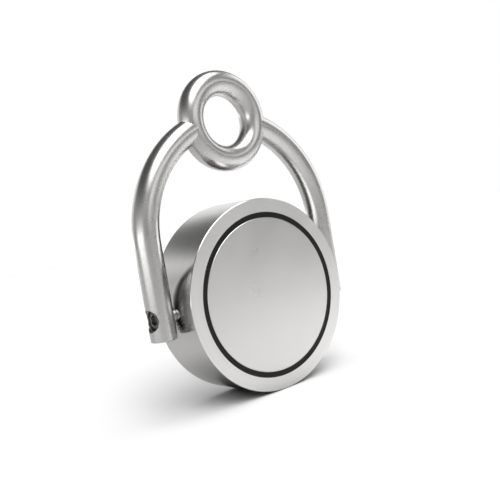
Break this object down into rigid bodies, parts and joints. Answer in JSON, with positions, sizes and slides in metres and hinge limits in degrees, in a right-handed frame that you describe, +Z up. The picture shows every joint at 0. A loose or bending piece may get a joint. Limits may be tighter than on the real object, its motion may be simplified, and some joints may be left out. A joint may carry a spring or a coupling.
{
  "type": "fishing magnet",
  "caption": "Fishing magnet: a disc magnet bonded into each face of a round steel casing, which turns on side pivots in a round-bar bail with a lifting eye.",
  "frame": {"origin": "centre of the lifting eye", "axes": "+Z up along the bail, X along the pivot axis, -Y out of the front magnet's face"},
  "size_m": [0.0962, 0.025, 0.1276],
  "materials": {
    "casing_steel": "turned and polished wall, satin rim faces",
    "magnet_plating": "satin nickel plating",
    "epoxy": "smooth black resin",
    "bail_steel": "polished round bar",
    "screw_steel": "machined, dark"
  },
  "bodies": {
    "bail": {"left_arm": "bail_steel", "right_arm": "bail_steel", "eye_ring": "bail_steel"},
    "magnet": {"casing": "casing_steel", "front_magnet": "magnet_plating", "back_magnet": "magnet_plating", "front_epoxy_ring": "epoxy", "back_epoxy_ring": "epoxy", "left_pivot_screw": "screw_steel", "right_pivot_screw": "screw_steel"}
  },
  "joints": [
    {"name": "magnet_swing", "type": "hinge", "parent": "bail", "child": "magnet", "pos_m": [0, 0, -0.0701], "axis": [1, 0, 0], "continuous": true}
  ]
}
